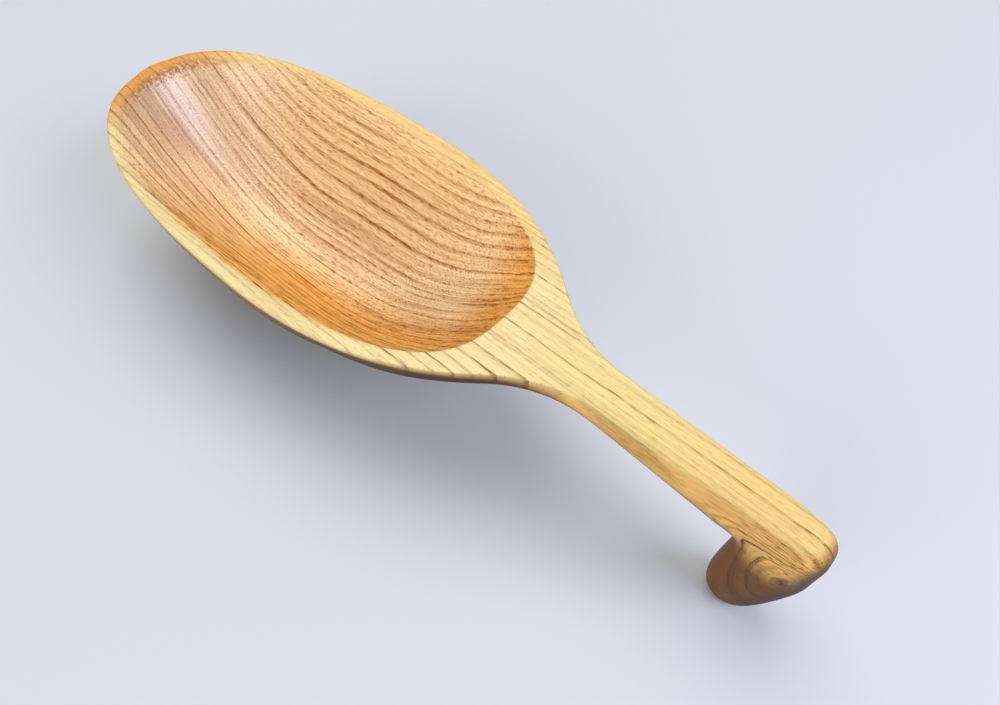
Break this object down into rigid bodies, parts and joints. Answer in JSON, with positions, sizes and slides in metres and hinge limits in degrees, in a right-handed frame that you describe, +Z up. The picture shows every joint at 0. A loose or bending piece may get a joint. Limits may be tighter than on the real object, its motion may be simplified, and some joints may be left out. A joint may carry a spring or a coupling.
{
  "type": "wooden ladle",
  "caption": "Wooden dipping ladle with a deep egg-shaped bowl, a flat-topped neck and a short straight handle that turns down into a hook, for scooping and pouring.",
  "frame": {"origin": "on the table under the middle of the overall length, in the plane of symmetry", "axes": "+X along the ladle from the bowl's tip to the hook, +Y across the bowl, +Z up from the table"},
  "size_m": [0.38, 0.12, 0.075],
  "materials": {
    "oiled_wood": "sanded smooth and oiled, satin"
  },
  "bodies": {
    "root": {"bowl": "oiled_wood", "neck": "oiled_wood", "handle": "oiled_wood", "hook": "oiled_wood"}
  },
  "joints": []
}
